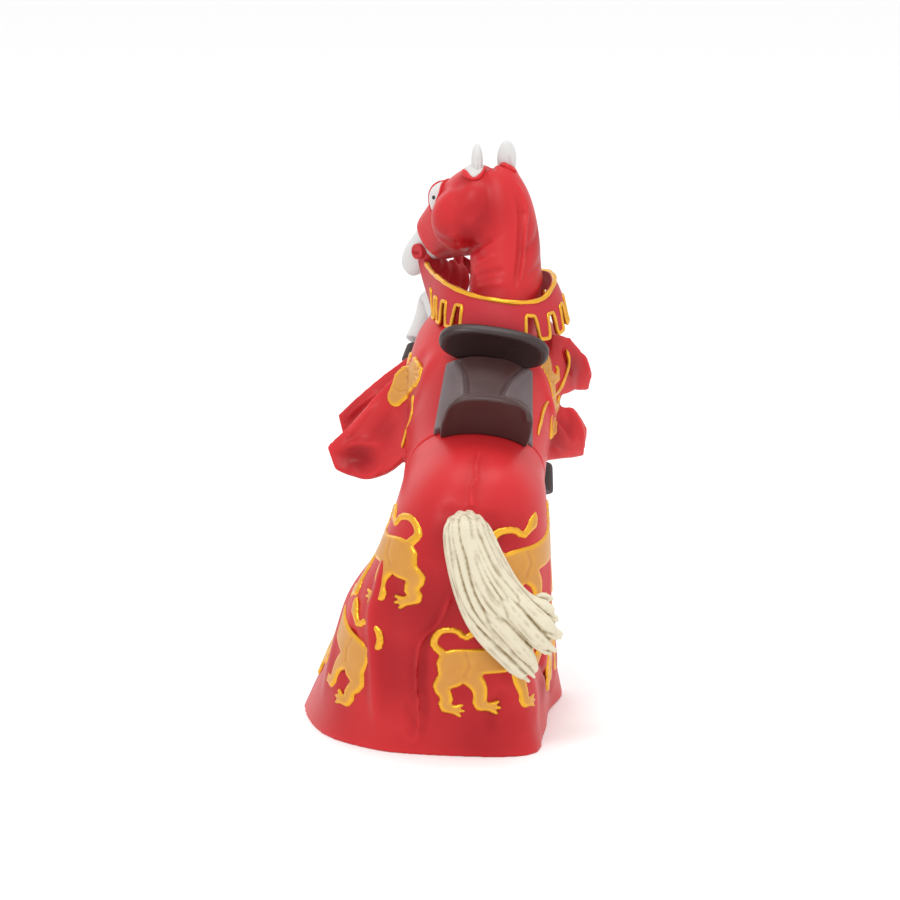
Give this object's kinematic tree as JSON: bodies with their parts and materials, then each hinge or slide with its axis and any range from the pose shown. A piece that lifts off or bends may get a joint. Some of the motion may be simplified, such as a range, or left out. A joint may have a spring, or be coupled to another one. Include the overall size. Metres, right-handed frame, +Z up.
{
  "type": "toy knight's horse",
  "caption": "Moulded toy horse rearing on its hind legs, in a floor-length horse cloth with raised lions, war saddle and flowing tail.",
  "frame": {"origin": "on the floor, under the middle of the toy's bounding box", "axes": "+Z up, +Y the way the horse faces, +X towards the horse's right side"},
  "size_m": [0.074, 0.1116, 0.1399],
  "materials": {
    "red_cloth": "satin painted",
    "rein_red": "satin painted",
    "white_coat": "matt painted",
    "board_brown": "satin painted",
    "seat_brown": "satin painted",
    "cream_hair": "washed paint",
    "hoof_brown": "matt painted"
  },
  "bodies": {
    "root": {"body_core": "red_cloth", "rear_caparison": "red_cloth", "front_caparison": "red_cloth", "neck_hood": "red_cloth", "head": "white_coat", "head_hood": "red_cloth", "left_ear": "white_coat", "right_ear": "white_coat", "saddle_seat": "seat_brown", "saddle_cantle": "board_brown", "saddle_pommel": "board_brown", "left_shoulder_drape": "red_cloth", "left_front_drape": "red_cloth", "right_shoulder_drape": "red_cloth", "right_front_drape": "red_cloth", "rein_band": "rein_red", "left_bit_boss": "rein_red", "right_bit_boss": "rein_red", "tail": "cream_hair", "left_foreleg": "white_coat", "right_foreleg": "white_coat", "left_hind_leg": "white_coat", "right_hind_leg": "white_coat", "left_fore_hoof": "hoof_brown", "right_fore_hoof": "hoof_brown", "left_hind_hoof": "hoof_brown", "right_hind_hoof": "hoof_brown"}
  },
  "joints": []
}
